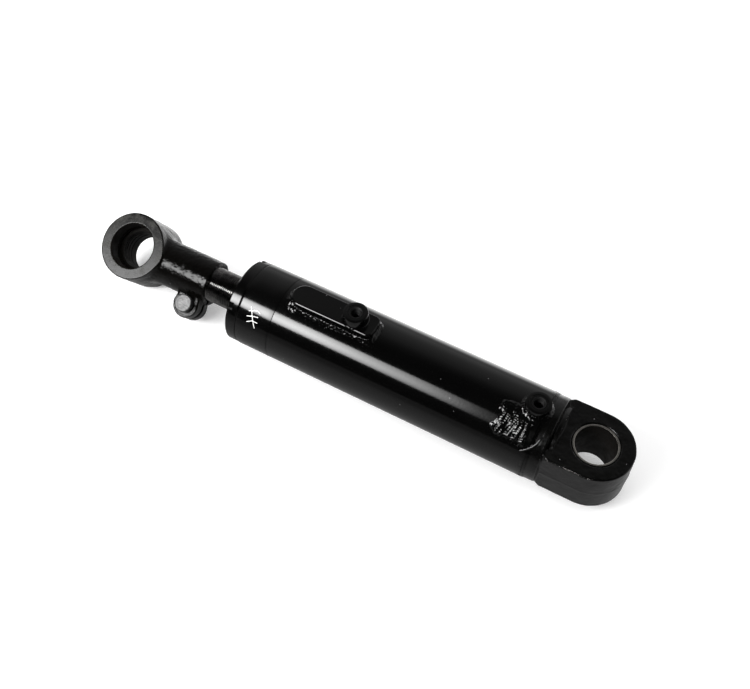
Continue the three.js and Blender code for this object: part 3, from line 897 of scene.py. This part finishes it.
def weld_pad(x, arc):
    """Height of the hand-laid pad: runs side by side round the tube, streaky along their length."""
    angle = np.degrees(arc / TUBE_R)
    flat = np.zeros_like(x)
    drift = noise(arc, flat, flat, 9, 74) * 1.2
    across = (x - 61.2 + drift) / 8.1
    beside = across - np.round(across)
    runs = np.sqrt(np.clip(1 - 3.2 * beside ** 2, 0, 1))
    streaks = 0.34 * noise(x + 0.25 * arc, arc * 0.30, flat, 2.6, 75)
    streaks += 0.22 * noise(x + 0.25 * arc, arc * 0.36, flat, 1.3, 76)
    lumpy = 0.40 * noise(x, arc, flat, 6.5, 77)
    scales = 0.07 * np.sin(2 * math.pi * (arc / 2.6 + 2.2 * beside ** 2 + 0.6 * drift))
    height = 0.45 + 0.85 * runs + streaks + lumpy + scales
    ragged = 3.5 * noise(x, arc, flat, 5.0, 78)
    fade = (np.clip((angle + ragged - 33) / 8, 0, 1) * np.clip((86 - angle + ragged) / 6, 0, 1)
            * np.clip((96 - x + 1.2 * ragged) / 7, 0, 1))
    return height * fade ** 1.1 - 0.25 * (1 - fade)


def port_weld_field(x, y, z):
    """Heavy hand weld round the base port, run far down the near side of the tube."""
    off = off_tube(y, z)
    out = np.hypot(x - BASE_PORT_X, y) - BOSS_R
    arc = np.arctan2(z, y) * TUBE_R
    around = np.arctan2(y, x - BASE_PORT_X) * 14
    leg = 3.6 + 0.6 * noise(x, y, z, 8, 71) + 0.45 * ripple(x, y, z, around, 3.6, 72)
    bead = (out + off - leg) * 0.7
    pad = (off - weld_pad(x, arc)) * 0.6
    pad = np.maximum(pad, 58.9 - x)
    both = join(bead, pad, 0.8)
    both = np.maximum(both, 0.03 - off)
    both = np.maximum(both, 0.1 - out)
    return np.maximum(both, 8 - z)


def make_welds():
    bead = BEAD
    mesh = net("block", block_field, [BLOCK_LOW[0] - 1, -BLOCK_HALF - 1, 40],
               [BLOCK_HIGH[0] + 1, BLOCK_HALF + 1, 54], 0.45)
    piece("port_block", mesh, "barrel", ["rod_port_block"], GLOSS)
    mesh = net("block_weld", block_weld_field, [BLOCK_LOW[0] - 10, -24, 34],
               [BLOCK_HIGH[0] + 9.2, 24, 53.5], 0.5)
    piece("block_weld", mesh, "barrel", ["rod_port_block_weld"], bead)
    mesh = net("rod_boss_weld", boss_weld_field, [ROD_PORT_X - 16, -16, 52.5], [ROD_PORT_X + 16, 16, 57], 0.3)
    piece("rod_boss_weld", mesh, "barrel", ["rod_port_boss_weld"], bead)
    mesh = net("cap_weld_bead", cap_weld_field, [45, -46.5, -46.5], [62.5, 46.5, 46.5], 0.55)
    piece("cap_weld_bead", mesh, "barrel", ["cap_weld"], bead)
    mesh = net("port_weld", port_weld_field, [44, -20, 6], [96, 48, 52], 0.45)
    piece("port_weld", mesh, "barrel", ["base_port_weld"], bead)


# ---------------------------------------------------------------- base lug

def lug_field(x, y, z):
    """Forged lug with eased edges and a faint parting line, turned head, spigot and nut pocket."""
    r = np.hypot(y, z)
    plan = np.where(x < 0, np.hypot(x, y), np.abs(y)) - LUG_R
    swell = 0.35 * np.clip(1 - np.abs(z) / LUG_HALF, 0, 1)
    slab_field = slab(plan - swell + 0.35, np.abs(z) - LUG_HALF, x - LUG_END, 1.6)
    corner = 0.528 * (x - 33.5) + 0.849 * (r - 46.6)
    slab_field = meet(slab_field, corner, 0.8)
    cone = -0.9206 * (x - 40) + 0.3906 * (r - 43.2)
    head = meet(meet(cone, r - HEAD_R, 0.7), x - (TUBE_START - 0.3), 0.5)
    body = join(slab_field, head, 0.9)
    spigot = np.maximum(r - (BORE_R - 0.3), x - (TUBE_START + 3.2))
    nose = np.maximum(r - NOSE_R, x - NOSE_END)
    body = np.minimum(body, np.maximum(np.minimum(spigot, nose), 34 - x))
    near = np.abs(body) < 1.5
    if near.any():
        rough = np.zeros_like(body)
        px, py, pz = x[near], y[near], z[near]
        rough[near] = (0.16 * noise(px, py, pz, 7, 11) + 0.07 * noise(px, py, pz, 2.4, 12)
                       + 0.22 * noise(px, py, pz, 26, 13))
        seam = np.exp(-(z / 0.7) ** 2) * np.clip((plan + 2) / 2, 0, 1) * (x < 38) * 0.22
        body = body + np.where(x < 46, rough * np.clip((52 - x) / 8, 0, 1), 0) - seam
    bore = np.hypot(x, y) - LUG_BORE_R
    lip = bore + np.clip(np.abs(z) - LUG_HALF + 0.8, 0, 2) * -1
    pocket = np.maximum(r - POCKET_R, POCKET_START - x)
    return np.maximum(body, -np.minimum(lip, pocket))


def make_lug():
    mesh = net("lug", lug_field, [-39, -45, -45], [69, 45, 45], 0.8)
    piece("lug", mesh, "barrel", ["base_lug"], FORGED)
    outer, half = 22.9, 26.2
    profile = [[-half, BUSH_BORE_R], [half, BUSH_BORE_R], [half, outer], [-half, outer]]
    bush = lathe("lug_bush", profile, 160, about_z(0, 0), rounded={0: 0.9, 1: 0.9, 2: 0.7, 3: 0.7})
    bush = piece("lug_bush", bush, "barrel", ["base_bush"], STEEL_Z)
    # Painted shade on the inside of the lug bush.
    second(bush, SHADED_BORE, lambda c: math.hypot(c[0], c[1]) < BUSH_BORE_R + 0.25)
    second(bush, FORGED, lambda c: math.hypot(c[0], c[1]) > outer - 1.0)


# ---------------------------------------------------------------- rod and rod end

def make_rod():
    """Chromed rod with a real helical thread where it enters the rod end."""
    segments = 96
    xs = [47.0, 47.0, 48.5, 98.8, 98.8, 99.6]
    rs = [0.0, 12.5, 14.0, 14.0, ROD_R - 0.8, ROD_R]
    xs += list(np.linspace(140, 380, 7)) + list(np.arange(THREAD_START, ROD_END - 1.4, THREAD_PITCH / 8))
    rs += [ROD_R] * (len(xs) - len(rs))
    xs += [ROD_END - 0.8, ROD_END, ROD_END]
    rs += [ROD_R, ROD_R - 1.2, 0.0]
    x = np.repeat(np.array(xs), segments).reshape(-1, segments)
    r = np.repeat(np.array(rs), segments).reshape(-1, segments)
    theta = np.tile(np.arange(segments) * 2 * math.pi / segments, (len(xs), 1))
    phase = (x / THREAD_PITCH - theta / (2 * math.pi)) % 1.0
    depth = THREAD_DEPTH * np.clip((x - THREAD_START - 3.0) / 3.0, 0, 1) * (x < ROD_END - 0.9)
    tooth = np.clip(1.15 * np.abs(2 * phase - 1), 0, 1)
    r = r - depth * (1 - tooth)
    points = np.stack([x, r * np.cos(theta), r * np.sin(theta)], -1).reshape(-1, 3)
    mesh = weld_doubles(to_mesh("rod_bar", points, ring_quads(len(xs), segments, False)), 40)
    piece("rod_bar", mesh, "rod", ["piston_rod"], CHROME)


def rod_end_field(x, m, n):
    """Cast rod end in its own frame: eye, neck, socket, slot and clamp ears."""
    r = np.hypot(m, n)
    across = np.hypot(x - EYE_X, m)
    eye = bar(across, n, EYE_R, EYE_HALF, 1.1)
    neck_r = NECK_R + 1.2 * np.clip((x - 480) / 25, 0, 1)
    neck = meet(r - neck_r, NECK_START - x, 1.6)
    neck = np.maximum(neck, x - EYE_X)
    ear_across = np.hypot(x - CLAMP[0], m - CLAMP[1])
    ears = bar(ear_across, n, CLAMP_R, CLAMP_HALF, 1.0)
    web = slab(np.abs(x - CLAMP[0] - 1) - CLAMP_R + 1, np.abs(m - 17) - 17, np.abs(n) - CLAMP_HALF, 1.5)
    seat = bar(ear_across, n - 0.2, SEAT_R, CLAMP_HALF, 0.4)
    body = join(neck, eye, 5.0)
    body = join(body, join(ears, web, 2.5), 4.0)
    near = np.abs(body) < 1.5
    rough = np.zeros_like(body)
    if near.any():
        px, pm, pn = x[near], m[near], n[near]
        rough[near] = (0.22 * noise(px, pm, pn, 9, 21) + 0.13 * noise(px, pm, pn, 3.4, 22)
                       + 0.12 * noise(px, pm, pn, 1.8, 23))
    flat = np.clip((np.abs(n) - EYE_HALF + 1.2) / 0.8, 0, 1) * (across < EYE_R + 1)
    body = body + rough * (1 - flat)
    body = np.maximum(body, np.abs(n) - EYE_HALF)
    body = join(body, seat, 0.4)
    bore = across - EYE_BORE_R - np.clip(np.abs(n) - EYE_HALF + 0.9, 0, 2)
    groove = np.maximum(across - EYE_BORE_R - 1.3, np.abs(n - 10.2) - 1.0)
    socket = np.maximum(r - ROD_R - 0.3, x - SOCKET_END)
    mouth = r - ROD_R - 0.3 - np.clip(NECK_START + 1.6 - x, 0, 3)
    mouth = np.maximum(mouth, x - 440)
    slot = np.maximum.reduce([np.abs(n) - SLOT_HALF, x - SLOT_END, -m])
    screw = np.maximum(ear_across - SCREW_HOLE_R, np.abs(n) - 30)
    hollow = np.minimum.reduce([bore, groove, socket, mouth, slot, screw])
    return carve(body, hollow, 0.25)


def rod_end_marks(points, normals):
    """Marks the machined eye faces, and the ring round the bore where grease collects."""
    x, m, n = points.T
    across = np.hypot(x - EYE_X, m)
    facing = np.abs(normals[:, 2])
    flat = np.clip((np.abs(n) - EYE_HALF + 0.5) / 0.3, 0, 1) * np.clip((facing - 0.8) / 0.15, 0, 1)
    inside = np.clip((EYE_BORE_R + 1.6 - across) / 0.4, 0, 1)
    return {"face": flat * (across < EYE_R + 1), "grease": inside}


def make_rod_end():
    mesh = net("rod_end_casting", rod_end_field, [425, -38, -28], [558, 48, 28], 0.7, tilted, rod_end_marks)
    casting = piece("rod_end_casting", mesh, "rod", ["rod_end"], CAST)

    def in_bore(c):
        m = c[1] * math.cos(TILT) - c[2] * math.sin(TILT)
        depth = abs(c[1] * math.sin(TILT) + c[2] * math.cos(TILT))
        return math.hypot(c[0] - EYE_X, m) < EYE_BORE_R + 1.5 and depth < EYE_HALF - 0.3
    # Painted shade inside the eye bore.
    second(casting, SHADED_BORE, in_bore)

    low, high, inner, outer = -24.3, 6.3, BUSH_BORE_R, 23.85
    profile = [[low, inner]]
    for x in (-12.0, -6.0, -1.0, 2.5):
        profile += [[x - 0.9, inner], [x - 0.6, inner + 0.7], [x + 0.6, inner + 0.7], [x + 0.9, inner]]
    profile += [[high, inner], [high, 21.9], [high - 0.5, 22.1], [high - 0.5, outer], [low, outer]]
    bush = lathe("eye_bush", profile, 160, along_pin(EYE_X, 0), rounded={0: 0.9, 17: 0.8})
    # The eye bush is given painted shade all over.
    piece("eye_bush", bush, "rod", ["rod_eye_bush"], SHADED_BORE)
    head = [[-12.5, 0], [-12.5, 5.2], [-11.7, 6.0], [12.8, 6.0], [12.8, 8.7], [13.2, 9.2], [18.7, 9.2],
            [SCREW_TOP, 8.4], [SCREW_TOP, 6.4], [SCREW_TOP - 0.15, 6.2], [SCREW_TOP - 0.15, 0]]
    screw = lathe("clamp_screw", head, 96, along_pin(*CLAMP))
    piece("clamp_screw", screw, "rod", ["pinch_screw"], STREAKED)


make_tube()
make_collar()
make_gland()
make_wiper()
make_bosses()
make_welds()
make_lug()
make_rod()
make_rod_end()


# ---------------------------------------------------------------- stage, light, camera

FLOOR_Z = CAD_BOX[0][2] - 0.0004
FLOOR_HALF = 6

# Radiance of the key lamp along its width and up its height, as (place, share) stops.
KEY_ALONG = ((0.0, 0.01), (0.052, 0.018), (0.10, 0.06), (0.18, 0.27), (0.25, 0.43), (0.326, 0.575),
             (0.41, 0.82), (0.47, 0.98), (0.53, 1.0))
KEY_UP = ((0.0, 0.22), (0.06, 0.50), (0.16, 0.72), (0.32, 0.86), (0.5, 1.0), (0.68, 0.95), (0.85, 0.70),
          (1.0, 0.35))

# Camera in metres in the row frame, from a fit.
CAMERA_RIGHT = (-0.87832, -0.47773, 0.01822)
CAMERA_UP = (0.40350, -0.72033, 0.56419)
CAMERA_BACK = (-0.25641, 0.50289, 0.82544)
CAMERA_PLACE = (-0.022208, 0.504361, 0.851977)
CAMERA_LENS = 48.455
CAMERA_SENSOR = 36.0


def grey_ramp(tree, value, stops):
    """Grey level that follows (place, level) stops as value runs from 0 to 1."""
    made = node(tree, "ValToRGB", {"Fac": value})
    ramp = made.color_ramp
    while len(ramp.elements) < len(stops):
        ramp.elements.new(0.5)
    for element, (place, level) in zip(ramp.elements, stops):
        element.position = place
        element.color = (level, level, level, 1)
    return made.outputs["Color"]


def make_floor():
    """Floor that whitens with distance, by a painted glow that is faint near the part and near white far off.
    Glossy reflections see a band of light behind the part instead.
    """
    work = bmesh.new()
    for x, y in ((-1, -1), (1, -1), (1, 1), (-1, 1)):
        work.verts.new((FLOOR_HALF * x, FLOOR_HALF * y, FLOOR_Z))
    work.faces.new(work.verts)
    mesh = bpy.data.meshes.new("floor")
    work.to_mesh(mesh)
    work.free()
    floor = add("floor", mesh)
    material = bpy.data.materials.new("pale_floor")
    material.use_nodes = True
    t = material.node_tree
    t.nodes.clear()
    out = node(t, "OutputMaterial")
    seen = node(t, "AddShader")
    t.links.new(node(t, "BsdfDiffuse", {"Color": (0.86, 0.86, 0.86, 1)}).outputs[0], seen.inputs[0])
    place = node(t, "TexCoord").outputs["Object"]
    away = node(t, "VectorMath", {0: place}, operation="LENGTH").outputs["Value"]
    # Painted light: the floor glows, faintly near the part and near white far off.
    floor_glow = node(t, "Emission", {"Strength": spread(t, away, 1.0, 2.6, 0.30, 0.94, True)})
    t.links.new(floor_glow.outputs[0], seen.inputs[1])
    y = node(t, "SeparateXYZ", {"Vector": place}).outputs["Y"]
    back = spread(t, y, -0.03, -0.10, 0.36, 1.35, True)
    far = spread(t, y, -0.11, -0.44, 0.0, 1.02, True)
    front = spread(t, y, 0.06, 0.40, 0.0, 0.20, True)
    glow = maths(t, "SUBTRACT", maths(t, "SUBTRACT", back, far), front)
    glow = node(t, "Emission", {"Strength": glow})
    mix = node(t, "MixShader", {"Fac": node(t, "LightPath").outputs["Is Glossy Ray"]})
    t.links.new(seen.outputs[0], mix.inputs[1])
    t.links.new(glow.outputs[0], mix.inputs[2])
    t.links.new(mix.outputs[0], out.inputs[0])
    mesh.materials.append(material)


def make_world():
    """Studio surround: pale wall behind the object up to about 60 degrees, dark overhead and in front."""
    world = bpy.data.worlds.new("studio")
    bpy.context.scene.world = world
    world.use_nodes = True
    t = world.node_tree
    t.nodes.clear()
    way = node(t, "SeparateXYZ", {"Vector": node(t, "TexCoord").outputs["Generated"]})
    up, side = way.outputs["Z"], way.outputs["Y"]
    wall = grey_ramp(t, up, ((0.0, 0.40), (0.16, 0.39), (0.38, 0.30), (0.585, 0.25), (0.76, 0.17),
                             (0.885, 0.06), (0.96, 0.01)))
    behind = spread(t, side, 0.05, -0.25, 0.0, 1.0, True)
    level = maths(t, "ADD", maths(t, "MULTIPLY", wall, behind), 0.012)
    studio = node(t, "Background", {"Color": (1, 1, 1, 1), "Strength": level})
    seen = node(t, "Background", {"Color": (0.94, 0.94, 0.94, 1), "Strength": 1.0})
    mix = node(t, "MixShader", {"Fac": node(t, "LightPath").outputs["Is Camera Ray"]})
    t.links.new(studio.outputs[0], mix.inputs[1])
    t.links.new(seen.outputs[0], mix.inputs[2])
    t.links.new(mix.outputs[0], node(t, "OutputWorld").inputs[0])


def soft_box(name, centre, back, width, height, radiance):
    """Rectangular lamp with its width along X and its back turned the given way."""
    data = bpy.data.lights.new(name, "AREA")
    data.shape = "RECTANGLE"
    data.size, data.size_y = width, height
    data.energy = radiance * math.pi * width * height
    lamp = add(name, data)
    z = np.array(back, float)
    z /= np.linalg.norm(z)
    x = np.array([1.0, 0.0, 0.0])
    y = np.cross(z, x)
    turn = Matrix([[x[i], y[i], z[i], centre[i]] for i in range(3)] + [[0, 0, 0, 1]])
    lamp.matrix_world = turn
    lamp.visible_camera = False
    return lamp


def fade_lamp(lamp, across, down):
    """Dims a lamp along its width and height, as a long soft box lit from one end."""
    data = lamp.data
    data.use_nodes = True
    t = data.node_tree
    way = node(t, "SeparateXYZ", {"Vector": node(t, "NewGeometry").outputs["Parametric"]})
    level = maths(t, "MULTIPLY", grey_ramp(t, way.outputs["X"], across), grey_ramp(t, way.outputs["Y"], down))
    emission = next(n for n in t.nodes if n.type == "EMISSION")
    t.links.new(level, emission.inputs["Color"])


def make_camera():
    data = bpy.data.cameras.new("camera")
    data.lens = CAMERA_LENS
    data.sensor_width = CAMERA_SENSOR
    data.clip_start = 0.01
    camera = add("camera", data)
    columns = (CAMERA_RIGHT, CAMERA_UP, CAMERA_BACK, CAMERA_PLACE)
    camera.matrix_world = Matrix([[column[i] for column in columns] for i in range(3)] + [[0, 0, 0, 1]])
    bpy.context.scene.camera = camera


make_floor()
make_world()
key = soft_box("key", centre=(0.875, 1.075, 1.13), back=(0, 0.69, 0.724), width=1.35, height=0.74,
               radiance=20.0)
fade_lamp(key, KEY_ALONG, KEY_UP)
overhead = soft_box("overhead", centre=(0.25, -0.2, 3.0), back=(0, 0, 1), width=4.5, height=4.5,
                    radiance=1.75)
overhead.visible_glossy = False
make_camera()
bpy.context.scene.view_settings.view_transform = "Standard"
